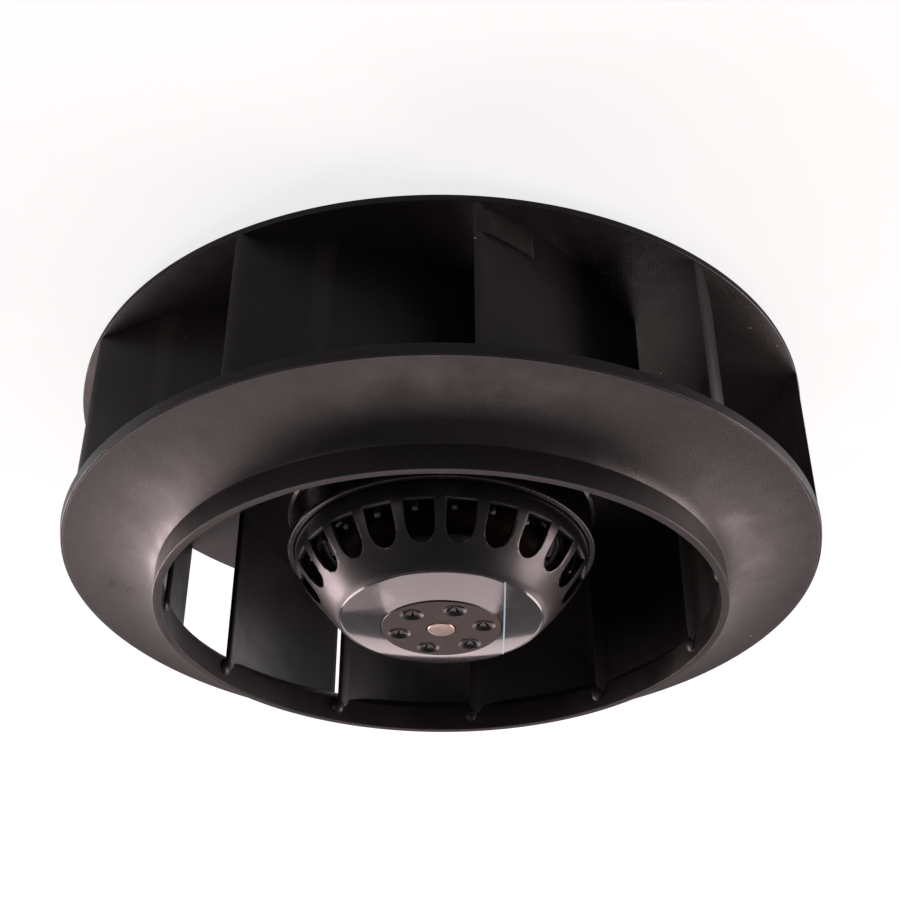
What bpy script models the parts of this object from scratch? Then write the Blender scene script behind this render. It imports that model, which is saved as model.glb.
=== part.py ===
"""Plug fan: a backward-curved centrifugal wheel carried on an external-rotor motor.

Metres, +Z up. The part stands on its motor flange with the air inlet on top. The origin is on
the shaft axis, in the mounting face of the flange.
"""

from math import acos, asin, atan2, copysign, cos, pi, radians, sin, tau

import bmesh
import bpy
from mathutils import Matrix, Vector

# Clearances
FIT = 0.0003  # between pieces that are pressed, welded or laid together
AIR_GAP = 0.0004  # between the stator and the turning rotor
RUNNING_GAP = 0.0012  # between the flange and what turns round it

# Fan wheel
WHEEL_R = 0.110
WHEEL_BACK_Z = 0.005  # how far the flange stands proud of the wheel's back
WHEEL_WIDTH = 0.0496  # back of the plate to the rim's lower edge
PLATE_T = 0.0020
RIM_BAND = 0.0030
SHROUD_RISE = 0.0067
SHROUD_FLARE = radians(75)  # how far round its ellipse the disc has turned where it meets the neck
SHROUD_UNDERCUT = 0.0005  # the wall under the neck's corner is that much lower
NECK_SHARE = 0.75  # of the wheel's radius
NECK_WALL = 0.0024
NECK_LENGTH = 0.0073
BLADE_COUNT = 11
BLADE_T = 0.0018
BLADE_END_T = 0.0009  # thinner at the trailing edge
BLADE_LEAD_IN = 0.0005  # leading edge inside the neck's bore
BLADE_WRAP = radians(37.5)
BLADE_BEND = radians(27.8)  # how far the blade turns along its arc
BLADE_TIP_ANGLE = radians(-28.95)
BLADE_INSET = 0.0002  # trailing edge inside the rim
HUB_WALL = 0.0013
HUB_TOP_Z = 0.0472
HUB_RIM = 0.0006  # how far the top ring stands out of the collar
HUB_RIM_H = 0.0016
HUB_RIB = 0.0012
HUB_RIB_H = 0.0010
HUB_RIB_Z = 0.0336
HUB_FILLET = 0.0060

# Balance clip on one trailing edge
CLIP_BLADE = 2
CLIP_LENGTH = 0.015
CLIP_HEIGHT = 0.0078
CLIP_LIFT = 0.0022  # above the back plate
CLIP_T = 0.0006

# Rotor can
CAN_R = 0.0436
CAN_WALL = 0.0020
CAN_MOUTH_Z = 0.0090
CAN_SHOULDER_Z = 0.0485
CAN_FACE_Z = 0.0707
CAN_FACE_SHARE = 0.5925  # of the crown's radius
SLOT_COUNT = 22
SLOT_ANGLE = radians(0.5)
SLOT_START_Z = 0.0520
SLOT_START_R = 0.0424
SLOT_END_Z = 0.0618
SLOT_END_R = 0.0353
SLOT_WIDTH = 0.0085
SLOT_STRAIGHT = 0.45  # share of its height before the round end
SLOT_TAPER = 0.92
CROWN_Z = 0.0677
CROWN_R = 0.0292
CROWN_ROUND = 0.0036
LABEL_T = 0.0003
FACE_HOLE_COUNT = 6
FACE_HOLE_ANGLE = radians(12)
FACE_HOLE_SHARE = 0.7225  # of the end face's radius
FACE_HOLE_R = 0.0027
FACE_HOLE_DEPTH = 0.0015
CAN_BOSS_R = 0.0090

# Rotor iron and cage
ROTOR_IRON_Z = 0.0185
ROTOR_IRON_LENGTH = 0.0240
CAGE_RING_H = 0.0042
CAGE_PIN_R = 0.0011
CAGE_PIN_H = 0.0036

# Stator
STATOR_R = 0.0340
TOOTH_COUNT = 12
TOOTH_WIDTH = 0.0050
TOOTH_LIP = 0.0018
SLOT_MOUTH = 0.0028
YOKE_R = 0.0190
INSULATOR_T = 0.0012
WINDING_HEAD_H = 0.0065

# Bearings and shaft
SHAFT_R = 0.0040
SHAFT_START_Z = 0.0026
SHAFT_PROUD = 0.0003
BEARING_R = 0.0110
BEARING_WIDTH = 0.0070
BEARING_RING_T = 0.0015
BALL_R = 0.0020
BALL_COUNT = 7
LOWER_BEARING_Z = 0.0050
UPPER_BEARING_Z = 0.0485
TUBE_WALL = 0.0022
SHOULDER = 0.0012
SPRING_T = 0.0006
CIRCLIP_T = 0.0009
CIRCLIP_R = 0.0060
CIRCLIP_GROOVE = 0.0005

# Motor flange
FLANGE_T = 0.0040
FLANGE_PAD_R = 0.0370
SKIRT_DROP = 0.0015
SCREW_CIRCLE_R = 0.0290
SCREW_COUNT = 4
SCREW_CORE_R = 0.00165
SCREW_DEPTH = 0.0070
SCREW_BOSS_R = 0.0042
CAP_R = 0.0128
CAP_T = 0.0010
GROMMET_CIRCLE_R = 0.0275
GROMMET_HOLE_R = 0.0050
GROMMET_HEAD_R = 0.0070
GROMMET_HEAD_T = 0.0012
GROMMET_BORE_R = 0.0032

# Facets
WHEEL_STEPS = 56
CAN_STEPS = 44
IRON_STEPS = 28
SMALL_STEPS = 20
BEARING_STEPS = 16
BALL_STEPS = 6
BLADE_RUNS = 8
SHROUD_RUNS = 7

# Places that follow from the sizes above
PLATE_TOP_Z = WHEEL_BACK_Z + PLATE_T
RIM_Z = WHEEL_BACK_Z + WHEEL_WIDTH
RIM_LOW_Z = RIM_Z - RIM_BAND
NECK_START_Z = RIM_Z + SHROUD_RISE
BORE_LOW_Z = NECK_START_Z - SHROUD_UNDERCUT
LIP_Z = NECK_START_Z + NECK_LENGTH
NECK_R = NECK_SHARE * WHEEL_R
NECK_BORE_R = NECK_R - NECK_WALL
BLADE_LEAD_R = NECK_BORE_R - BLADE_LEAD_IN
BLADE_END_R = WHEEL_R - BLADE_INSET
HUB_BORE_R = CAN_R + FIT
CAN_FACE_R = CAN_FACE_SHARE * CROWN_R
FACE_HOLE_CIRCLE_R = FACE_HOLE_SHARE * CAN_FACE_R
CAN_BORE_R = CAN_R - CAN_WALL
ROTOR_IRON_TOP_Z = ROTOR_IRON_Z + ROTOR_IRON_LENGTH
ROTOR_IRON_BORE_R = STATOR_R + AIR_GAP
ROTOR_IRON_R = CAN_BORE_R - FIT
TUBE_R = BEARING_R + FIT + TUBE_WALL
TUBE_TOP_Z = UPPER_BEARING_Z + BEARING_WIDTH
BALL_CIRCLE_R = (SHAFT_R + FIT + BEARING_R) / 2
INNER_RACE_R = SHAFT_R + FIT + BEARING_RING_T
OUTER_RACE_R = BEARING_R - BEARING_RING_T
SKIRT_R = HUB_BORE_R - RUNNING_GAP
CAP_SEAT_T = CAP_T + FIT


def clear_scene():
    for obj in list(bpy.data.objects):
        bpy.data.objects.remove(obj, do_unlink=True)


def new_collection(name):
    collection = bpy.data.collections.new(name)
    bpy.context.scene.collection.children.link(collection)
    return collection


clear_scene()
PARTS = new_collection("plug_fan")
CUTTERS = new_collection("cutters")


def new_object(name, mesh, collection=None):
    obj = bpy.data.objects.new(name, mesh)
    (collection or PARTS).objects.link(obj)
    return obj


def mesh_from(name, bm):
    mesh = bpy.data.meshes.new(name)
    bm.to_mesh(mesh)
    bm.free()
    return mesh


def material(name, colour, roughness, metallic=0.0):
    found = bpy.data.materials.get(name)
    if found:
        return found
    made = bpy.data.materials.new(name)
    made.use_nodes = True
    shader = made.node_tree.nodes["Principled BSDF"]
    shader.inputs["Base Color"].default_value = (*colour, 1.0)
    shader.inputs["Roughness"].default_value = roughness
    shader.inputs["Metallic"].default_value = metallic
    return made


def wheel_plastic():
    return material("wheel_plastic", (0.030, 0.026, 0.025), 0.5)


def rotor_paint():
    return material("rotor_paint", (0.012, 0.012, 0.013), 0.18)


def cast_aluminium():
    return material("cast_aluminium", (0.60, 0.60, 0.61), 0.45, 1.0)


def bright_steel():
    return material("bright_steel", (0.72, 0.68, 0.62), 0.25, 1.0)


def spring_steel():
    return material("spring_steel", (0.30, 0.29, 0.28), 0.35, 1.0)


def electrical_steel():
    return material("electrical_steel", (0.33, 0.33, 0.34), 0.5, 1.0)


def copper():
    return material("copper", (0.72, 0.32, 0.14), 0.35, 1.0)


def insulator_plastic():
    return material("insulator_plastic", (0.70, 0.68, 0.60), 0.5)


def rubber():
    return material("rubber", (0.02, 0.02, 0.02), 0.8)


def label_foil():
    return material("label_foil", (0.10, 0.095, 0.09), 0.22, 0.3)


def clip_steel():
    return material("clip_steel", (0.06, 0.055, 0.05), 0.4, 0.6)


def bake(obj):
    """Applies the modifiers and shades the round faces smooth."""
    graph = bpy.context.evaluated_depsgraph_get()
    mesh = bpy.data.meshes.new_from_object(obj.evaluated_get(graph))
    obj.modifiers.clear()
    obj.data = mesh
    mesh.shade_smooth()
    mesh.set_sharp_from_angle(angle=radians(35))
    return obj


def finish(obj, surface):
    bake(obj)
    obj.data.materials.clear()
    obj.data.materials.append(surface)
    return obj


def turned(name, profile, steps, closed=True, collection=None):
    """Turns a profile of (radius, height) points about Z. It runs down its outer side."""
    mesh = bpy.data.meshes.new(name)
    points = [(r, 0.0, z) for r, z in profile]
    edges = [(i, i + 1) for i in range(len(points) - 1)]
    if closed:
        edges.append((len(points) - 1, 0))
    mesh.from_pydata(points, edges, [])
    obj = new_object(name, mesh, collection)
    screw = obj.modifiers.new("turn", "SCREW")
    screw.axis = "Z"
    screw.angle = tau
    screw.steps = steps
    screw.render_steps = steps
    screw.use_merge_vertices = True
    screw.merge_threshold = 0.00001
    return obj


def ring(name, inner_r, outer_r, low_z, high_z, steps, collection=None):
    profile = [(inner_r, high_z), (outer_r, high_z), (outer_r, low_z), (inner_r, low_z)]
    return turned(name, profile, steps, True, collection)


def as_cutter(obj):
    obj.hide_render = True
    obj.display_type = "WIRE"
    return obj


def boolean(obj, other, operation):
    step = obj.modifiers.new(operation.lower(), "BOOLEAN")
    step.operation = operation
    step.object = other
    return obj


def cut(obj, cutter):
    return boolean(obj, as_cutter(bake(cutter)), "DIFFERENCE")


def join(obj, other):
    return boolean(obj, as_cutter(bake(other)), "UNION")


def prism(name, outline, low_z, high_z, holes=(), collection=None):
    """A flat outline, with any holes, as a filled 2D curve with thickness, made into a mesh."""
    curve = bpy.data.curves.new(name, "CURVE")
    curve.dimensions = "2D"
    curve.fill_mode = "BOTH"
    curve.extrude = (high_z - low_z) / 2
    for loop in (outline, *holes):
        spline = curve.splines.new("POLY")
        spline.points.add(len(loop) - 1)
        for point, (x, y) in zip(spline.points, loop):
            point.co = (x, y, 0.0, 1.0)
        spline.use_cyclic_u = True
    guide = new_object(name + "_curve", curve, CUTTERS)
    guide.location.z = (high_z + low_z) / 2
    bpy.context.view_layer.update()
    graph = bpy.context.evaluated_depsgraph_get()
    mesh = bpy.data.meshes.new_from_object(guide.evaluated_get(graph))
    bm = bmesh.new()
    bm.from_mesh(mesh)
    bmesh.ops.remove_doubles(bm, verts=bm.verts, dist=0.000005)
    bmesh.ops.recalc_face_normals(bm, faces=bm.faces)
    bm.to_mesh(mesh)
    bm.free()
    obj = new_object(name, mesh, collection)
    obj.matrix_world = guide.matrix_world
    bpy.data.objects.remove(guide, do_unlink=True)
    return obj


def copies_round(name, bm, count, first_angle=0.0, collection=None):
    """Repeats a closed mesh about Z in one mesh and drops the one that it was made from."""
    source = bpy.data.meshes.new(name)
    bm.to_mesh(source)
    bm.free()
    all_round = bmesh.new()
    for i in range(count):
        turn = Matrix.Rotation(first_angle + i * tau / count, 4, "Z")
        first = len(all_round.verts)
        all_round.from_mesh(source)
        all_round.verts.ensure_lookup_table()
        bmesh.ops.transform(all_round, matrix=turn, verts=all_round.verts[first:])
    return new_object(name, mesh_from(name, all_round), collection or CUTTERS)


def cylinder(radius, low_z, high_z, x=0.0, y=0.0, steps=SMALL_STEPS):
    bm = bmesh.new()
    bmesh.ops.create_cone(
        bm,
        cap_ends=True,
        segments=steps,
        radius1=radius,
        radius2=radius,
        depth=high_z - low_z,
        matrix=Matrix.Translation((x, y, (low_z + high_z) / 2)),
    )
    return bm


def arc(radius, start, end, count):
    """Points on a circle round the origin, both ends included."""
    return [
        (radius * cos(start + (end - start) * i / count), radius * sin(start + (end - start) * i / count))
        for i in range(count + 1)
    ]


# Shroud
def shroud_curve(inner_r, low_z, high_z, count):
    """Part of an ellipse from the neck out to the rim, where it runs level: (radius, height)."""
    width = (WHEEL_R - inner_r) / sin(SHROUD_FLARE)
    rise = (high_z - low_z) / (1 - cos(SHROUD_FLARE))
    angles = [SHROUD_FLARE * (1 - i / count) for i in range(count + 1)]
    return [(WHEEL_R - width * sin(a), low_z + rise * (1 - cos(a))) for a in angles]


def shroud_under_z(radius):
    """Height of the shroud's inner face, which the blades are welded to."""
    share = min((WHEEL_R - radius) / (WHEEL_R - NECK_BORE_R), 1.0)
    rise = (BORE_LOW_Z - RIM_LOW_Z) / (1 - cos(SHROUD_FLARE))
    return RIM_LOW_Z + rise * (1 - cos(asin(share * sin(SHROUD_FLARE))))


def make_shroud():
    outside = shroud_curve(NECK_R, RIM_Z, NECK_START_Z, SHROUD_RUNS)
    inside = shroud_curve(NECK_BORE_R, RIM_LOW_Z, BORE_LOW_Z, SHROUD_RUNS)
    profile = [(NECK_BORE_R, LIP_Z), (NECK_R, LIP_Z)] + outside + inside[::-1]
    return finish(turned("shroud", profile, WHEEL_STEPS), wheel_plastic())


# Back plate with the hub collar that grips the rotor can
def make_back_plate():
    outer = HUB_BORE_R + HUB_WALL
    rim_z = HUB_TOP_Z - HUB_RIM_H
    rib_z = HUB_RIB_Z + HUB_RIB_H
    corner = (outer + HUB_FILLET, PLATE_TOP_Z + HUB_FILLET)
    fillet = [
        (corner[0] - HUB_FILLET * cos(a), corner[1] - HUB_FILLET * sin(a))
        for a in (0.0, pi / 6, pi / 3, pi / 2)
    ]
    profile = [
        (HUB_BORE_R, HUB_TOP_Z),
        (outer + HUB_RIM, HUB_TOP_Z),
        (outer + HUB_RIM, rim_z),
        (outer, rim_z),
        (outer, rib_z),
        (outer + HUB_RIB, rib_z),
        (outer + HUB_RIB, HUB_RIB_Z),
        (outer, HUB_RIB_Z),
        *fillet,
        (WHEEL_R, PLATE_TOP_Z),
        (WHEEL_R, WHEEL_BACK_Z),
        (HUB_BORE_R, WHEEL_BACK_Z),
    ]
    return finish(turned("back_plate", profile, WHEEL_STEPS), wheel_plastic())


# Blades
def blade_arc():
    """Centre of the blade's arc and the arc angle of its leading edge, for a tip at angle 0."""
    tip = Vector((BLADE_END_R, 0.0))
    lead = Vector((BLADE_LEAD_R * cos(BLADE_WRAP), -BLADE_LEAD_R * sin(BLADE_WRAP)))
    middle = (tip + lead) / 2
    chord = tip - lead
    across = Vector((chord.y, -chord.x)).normalized()
    if across.dot(middle) > 0:
        across.negate()
    reach = chord.length / 2 / sin(BLADE_BEND / 2)
    centre = middle + across * (reach**2 - (chord.length / 2) ** 2) ** 0.5
    return centre, reach, atan2(lead.y - centre.y, lead.x - centre.x)


def arc_angle_at(centre, reach, radius):
    """Arc angle at which an arc of this reach comes out to a radius of the wheel."""
    span = centre.length
    toward = atan2(centre.y, centre.x)
    share = (radius**2 - span**2 - reach**2) / (2 * reach * span)
    found = [toward + acos(share), toward - acos(share)]
    tips = [centre + reach * Vector((cos(a), sin(a))) for a in found]
    return min(zip(tips, found), key=lambda pair: (pair[0] - Vector((radius, 0.0))).length)[1]


def blade_half(share):
    """Half the blade's thickness at a share of its length from the leading edge."""
    return (BLADE_T + (BLADE_END_T - BLADE_T) * share) / 2


def blade_stations():
    """Pairs of points, on the outer and the inner side, from the leading to the trailing edge."""
    centre, reach, lead = blade_arc()
    half = blade_half(0)
    ends = [arc_angle_at(centre, reach + side * blade_half(1), BLADE_END_R) for side in (1, -1)]
    nose = copysign(half / reach, ends[0] - lead)
    stations = []
    for turn in (radians(12), radians(40), radians(65)):
        angle = lead + nose * (1 - cos(turn))
        stations.append([(reach + side * half * sin(turn), angle) for side in (1, -1)])
    start = lead + nose
    for i in range(BLADE_RUNS + 1):
        share = i / BLADE_RUNS
        off = blade_half(share)
        stations.append(
            [(reach + side * off, start + (end - start) * share) for side, end in zip((1, -1), ends)]
        )
    return [[centre + r * Vector((cos(a), sin(a))) for r, a in pair] for pair in stations]


def blade_mesh():
    """A strip lofted along the arc: level on the back plate, its top edge under the shroud."""
    bm = bmesh.new()
    rows = []
    for outer, inner in blade_stations():
        row = []
        for point in (outer, inner):
            top = shroud_under_z(point.length) - FIT
            row.append(bm.verts.new((point.x, point.y, PLATE_TOP_Z + FIT)))
            row.append(bm.verts.new((point.x, point.y, top)))
        rows.append(row)
    for before, after in zip(rows, rows[1:]):
        for i, j in ((0, 1), (1, 3), (3, 2), (2, 0)):
            bm.faces.new((before[i], before[j], after[j], after[i]))
    for row in (rows[0], rows[-1]):
        bm.faces.new((row[0], row[1], row[3], row[2]))
    bmesh.ops.recalc_face_normals(bm, faces=bm.faces)
    mesh = mesh_from("blade", bm)
    mesh.shade_smooth()
    mesh.set_sharp_from_angle(angle=radians(35))
    mesh.materials.append(wheel_plastic())
    return mesh


def tip_angle(index):
    return BLADE_TIP_ANGLE - index * tau / BLADE_COUNT


def make_blades():
    mesh = blade_mesh()
    for i in range(BLADE_COUNT):
        blade = new_object(f"blade_{i + 1:02d}", mesh)
        blade.rotation_euler.z = tip_angle(i)


def make_balance_clip():
    """A sheet clip laid along the outer side of one blade, at its trailing edge."""
    centre, reach, lead = blade_arc()
    length = reach * abs(arc_angle_at(centre, reach, BLADE_END_R) - lead)
    inner = reach + blade_half(1 - CLIP_LENGTH / length) + FIT
    outline = []
    for r in (inner + CLIP_T, inner):
        end = arc_angle_at(centre, r, BLADE_END_R)
        start = end + copysign(CLIP_LENGTH / reach, lead - end)
        side = [centre + Vector(point) for point in arc(r, start, end, 4)]
        outline += [(point.x, point.y) for point in side[:: 1 if not outline else -1]]
    low = PLATE_TOP_Z + CLIP_LIFT
    clip = prism("balance_clip", outline, low, low + CLIP_HEIGHT)
    clip.rotation_euler.z = tip_angle(CLIP_BLADE)
    return finish(clip, clip_steel())


# Rotor can
def can_slots():
    """Cutters for the cooling slots: square at the wall, round towards the end face."""
    half = SLOT_WIDTH / 2
    narrow = half * SLOT_TAPER
    straight = SLOT_START_Z + (SLOT_END_Z - SLOT_START_Z) * SLOT_STRAIGHT
    rise = SLOT_END_Z - straight
    outline = [(-half, SLOT_START_Z), (half, SLOT_START_Z), (narrow, straight)]
    outline += [(narrow * cos(a), straight + rise * sin(a)) for a in (pi / 4, pi / 2, 3 * pi / 4)]
    outline.append((-narrow, straight))
    near = SLOT_END_R - 2 * CAN_WALL
    far = CAN_R + CAN_WALL
    bm = bmesh.new()
    loops = [[bm.verts.new((r, y, z)) for y, z in outline] for r in (near, far)]
    bm.faces.new(loops[0][::-1])
    bm.faces.new(loops[1])
    count = len(outline)
    for i in range(count):
        j = (i + 1) % count
        bm.faces.new((loops[0][i], loops[0][j], loops[1][j], loops[1][i]))
    bmesh.ops.recalc_face_normals(bm, faces=bm.faces)
    return copies_round("can_slots", bm, SLOT_COUNT, SLOT_ANGLE)


def face_holes():
    bm = cylinder(
        FACE_HOLE_R,
        CAN_FACE_Z - FACE_HOLE_DEPTH,
        CAN_FACE_Z + FACE_HOLE_DEPTH,
        x=FACE_HOLE_CIRCLE_R,
        steps=12,
    )
    return copies_round("face_holes", bm, FACE_HOLE_COUNT, FACE_HOLE_ANGLE)


def make_rotor_can():
    bed = LABEL_T + FIT
    wall = CAN_WALL
    crown = [
        (CROWN_R + CROWN_ROUND * sin(a), CROWN_Z - CROWN_ROUND * (1 - cos(a)))
        for a in (radians(25), radians(55))
    ]
    profile = [
        (SHAFT_R + FIT, CAN_FACE_Z),
        (CAN_FACE_R, CAN_FACE_Z),
        (CAN_FACE_R + bed / 2, CAN_FACE_Z - bed),
        (CROWN_R - bed / 2, CROWN_Z - bed),
        (CROWN_R, CROWN_Z),
        *crown,
        (SLOT_END_R, SLOT_END_Z),
        (SLOT_START_R, SLOT_START_Z),
        (CAN_R, CAN_SHOULDER_Z),
        (CAN_R, CAN_MOUTH_Z),
        (CAN_BORE_R, CAN_MOUTH_Z),
        (CAN_BORE_R, CAN_SHOULDER_Z - wall / 2),
        (SLOT_START_R - wall, SLOT_START_Z - wall / 2),
        (SLOT_END_R - wall, SLOT_END_Z - wall / 2),
        (CROWN_R - wall / 2, CROWN_Z - 1.5 * wall),
        (CAN_BOSS_R, CAN_FACE_Z - 1.6 * wall),
        (CAN_BOSS_R, TUBE_TOP_Z + FIT),
        (SHAFT_R + FIT, TUBE_TOP_Z + FIT),
    ]
    can = turned("rotor_can", profile, CAN_STEPS)
    cut(can, can_slots())
    cut(can, face_holes())
    return finish(can, rotor_paint())


def make_rotor_label():
    """A bare foil ring in the shallow bed of the can's end cone."""
    bed = LABEL_T + FIT
    inner = CAN_FACE_R + bed
    outer = CROWN_R - bed
    slope = (CAN_FACE_Z - CROWN_Z) / (CROWN_R - bed - CAN_FACE_R)

    def height(r):
        return CAN_FACE_Z - (r - CAN_FACE_R - bed / 2) * slope

    profile = [
        (inner, height(inner)),
        (outer, height(outer)),
        (outer, height(outer) - LABEL_T),
        (inner, height(inner) - LABEL_T),
    ]
    return finish(turned("rotor_label", profile, CAN_STEPS), label_foil())


# Rotor iron and cage
def make_rotor_iron():
    iron = ring(
        "rotor_iron",
        ROTOR_IRON_BORE_R,
        ROTOR_IRON_R,
        ROTOR_IRON_Z,
        ROTOR_IRON_TOP_Z,
        IRON_STEPS,
    )
    return finish(iron, electrical_steel())


def cage_ring(name, low_z):
    inner = ROTOR_IRON_BORE_R + CAGE_RING_H / 4
    outer = ROTOR_IRON_R - FIT
    return ring(name, inner, outer, low_z, low_z + CAGE_RING_H, IRON_STEPS)


def make_cage_rings():
    upper_z = ROTOR_IRON_TOP_Z + FIT
    upper = cage_ring("upper_cage_ring", upper_z)
    middle = (ROTOR_IRON_BORE_R + ROTOR_IRON_R) / 2
    top = upper_z + CAGE_RING_H
    pins = cylinder(CAGE_PIN_R, top - CAGE_PIN_R, top + CAGE_PIN_H, x=middle, steps=6)
    join(upper, copies_round("cage_pins", pins, SLOT_COUNT, SLOT_ANGLE))
    finish(upper, cast_aluminium())
    lower = cage_ring("lower_cage_ring", ROTOR_IRON_Z - FIT - CAGE_RING_H)
    finish(lower, cast_aluminium())


# Stator
def toothed_outline(radius, tooth, lip, with_lips=True):
    """Outline of the wound core: a yoke with teeth that stand out, each with a lipped tip."""
    pitch = tau / TOOTH_COUNT
    tip_half = pitch / 2 - asin(SLOT_MOUTH / 2 / radius)
    neck_r = radius - 1.6 * lip
    if not with_lips:
        tip_half = asin(tooth / 2 / radius)
    points = []
    for i in range(TOOTH_COUNT):
        middle = i * pitch
        side = [(radius, -tip_half)]
        if with_lips:
            side = [(neck_r, -asin(tooth / 2 / neck_r)), (radius - lip, -tip_half)] + side
        side = [(YOKE_R, -asin(tooth / 2 / YOKE_R))] + side
        tooth_points = side + [(radius, 0.0)] + [(r, -a) for r, a in side[::-1]]
        points += [(r * cos(middle + a), r * sin(middle + a)) for r, a in tooth_points]
    return points


def make_stator_core():
    bore = arc(TUBE_R + FIT, 0.0, tau * (1 - 1 / SMALL_STEPS), SMALL_STEPS - 1)
    core = prism(
        "stator_core",
        toothed_outline(STATOR_R, TOOTH_WIDTH, TOOTH_LIP),
        ROTOR_IRON_Z,
        ROTOR_IRON_TOP_Z,
        [bore],
    )
    return finish(core, electrical_steel())


def make_insulators():
    bore = arc(TUBE_R + FIT, 0.0, tau * (1 - 1 / SMALL_STEPS), SMALL_STEPS - 1)
    outline = toothed_outline(STATOR_R - TOOTH_LIP, TOOTH_WIDTH, TOOTH_LIP, False)
    places = {
        "lower_insulator": ROTOR_IRON_Z - FIT - INSULATOR_T,
        "upper_insulator": ROTOR_IRON_TOP_Z + FIT,
    }
    for name, low in places.items():
        finish(prism(name, outline, low, low + INSULATOR_T, [bore]), insulator_plastic())


def winding_head(name, low_z, high_z, collection=None):
    inner = YOKE_R + FIT
    outer = STATOR_R - 2 * TOOTH_LIP
    bevel = WINDING_HEAD_H / 4
    profile = [
        (inner + bevel, high_z),
        (outer - bevel, high_z),
        (outer, high_z - bevel),
        (outer, low_z + bevel),
        (outer - bevel, low_z),
        (inner + bevel, low_z),
        (inner, low_z + bevel),
        (inner, high_z - bevel),
    ]
    return turned(name, profile, SMALL_STEPS, True, collection)


def make_stator_winding():
    """Both winding heads and the bundles that join them through the slots."""
    pitch = tau / TOOTH_COUNT
    grip = TOOTH_WIDTH / 2 + FIT
    low_r = YOKE_R + 2 * FIT
    high_r = STATOR_R - 2 * TOOTH_LIP - 2 * FIT
    lower_top = ROTOR_IRON_Z - 2 * FIT - INSULATOR_T
    upper_bottom = ROTOR_IRON_TOP_Z + 2 * FIT + INSULATOR_T
    lower = winding_head("stator_winding", lower_top - WINDING_HEAD_H, lower_top)
    upper = winding_head("upper_head", upper_bottom, upper_bottom + WINDING_HEAD_H, CUTTERS)
    corners = [
        (r, side * (pitch / 2 - asin(grip / r)))
        for r, side in ((low_r, -1), (high_r, -1), (high_r, 1), (low_r, 1))
    ]
    bm = bmesh.new()
    reach = WINDING_HEAD_H / 2
    levels = (lower_top - reach, upper_bottom + reach)
    loops = [[bm.verts.new((r * cos(a), r * sin(a), z)) for r, a in corners] for z in levels]
    bm.faces.new(loops[0][::-1])
    bm.faces.new(loops[1])
    for i in range(4):
        j = (i + 1) % 4
        bm.faces.new((loops[0][i], loops[0][j], loops[1][j], loops[1][i]))
    bmesh.ops.recalc_face_normals(bm, faces=bm.faces)
    bundles = copies_round("slot_bundles", bm, TOOTH_COUNT, pitch / 2)
    join(lower, bundles)
    join(lower, upper)
    return finish(lower, copper())


# Bearings
def make_bearing(prefix, low_z):
    high_z = low_z + BEARING_WIDTH
    middle = (low_z + high_z) / 2
    groove = BALL_R * 0.6
    outer_floor = BALL_CIRCLE_R + BALL_R + FIT
    inner_floor = BALL_CIRCLE_R - BALL_R - FIT
    outer = turned(
        prefix + "_bearing_outer_ring",
        [
            (OUTER_RACE_R, high_z),
            (BEARING_R, high_z),
            (BEARING_R, low_z),
            (OUTER_RACE_R, low_z),
            (OUTER_RACE_R, middle - 2 * groove),
            (outer_floor, middle - groove),
            (outer_floor, middle + groove),
            (OUTER_RACE_R, middle + 2 * groove),
        ],
        BEARING_STEPS,
    )
    finish(outer, bright_steel())
    bore = SHAFT_R + FIT
    inner = turned(
        prefix + "_bearing_inner_ring",
        [
            (bore, high_z),
            (INNER_RACE_R, high_z),
            (INNER_RACE_R, middle + 2 * groove),
            (inner_floor, middle + groove),
            (inner_floor, middle - groove),
            (INNER_RACE_R, middle - 2 * groove),
            (INNER_RACE_R, low_z),
            (bore, low_z),
        ],
        BEARING_STEPS,
    )
    finish(inner, bright_steel())
    cage_half = BALL_R * 0.35
    balls = ring(
        prefix + "_bearing_balls",
        BALL_CIRCLE_R - cage_half,
        BALL_CIRCLE_R + cage_half,
        middle - cage_half * 2,
        middle + cage_half * 2,
        BALL_COUNT * 2,
    )
    bm = bmesh.new()
    place = Matrix.Translation((BALL_CIRCLE_R, 0.0, middle))
    bmesh.ops.create_uvsphere(bm, u_segments=BALL_STEPS, v_segments=BALL_STEPS // 2 + 1, radius=BALL_R, matrix=place)
    join(balls, copies_round(prefix + "_ball_copies", bm, BALL_COUNT))
    finish(balls, bright_steel())


def make_bearing_spring():
    """A preload washer between the tube's shoulder and the upper bearing's outer ring."""
    low = UPPER_BEARING_Z - FIT - SPRING_T
    spring = ring(
        "bearing_spring",
        BEARING_R - SHOULDER,
        BEARING_R - FIT,
        low,
        low + SPRING_T,
        SMALL_STEPS,
    )
    return finish(spring, spring_steel())


# Shaft
def make_shaft():
    groove_top = LOWER_BEARING_Z - FIT
    groove_low = groove_top - CIRCLIP_T - 2 * FIT
    groove_r = SHAFT_R - CIRCLIP_GROOVE
    top = CAN_FACE_Z + SHAFT_PROUD
    bevel = CIRCLIP_GROOVE
    profile = [
        (0.0, top),
        (SHAFT_R - bevel, top),
        (SHAFT_R, top - bevel),
        (SHAFT_R, groove_top),
        (groove_r, groove_top),
        (groove_r, groove_low),
        (SHAFT_R, groove_low),
        (SHAFT_R, SHAFT_START_Z),
        (0.0, SHAFT_START_Z),
    ]
    return finish(turned("shaft", profile, SMALL_STEPS, closed=False), bright_steel())


def make_circlip():
    """An open ring in the shaft's groove, under the lower bearing."""
    opening = radians(28)
    inner = SHAFT_R - CIRCLIP_GROOVE + FIT / 2
    outline = arc(CIRCLIP_R, opening, tau - opening, 14) + arc(inner, tau - opening, opening, 14)
    top = LOWER_BEARING_Z - 2 * FIT
    return finish(prism("shaft_circlip", outline, top - CIRCLIP_T, top), spring_steel())


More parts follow.
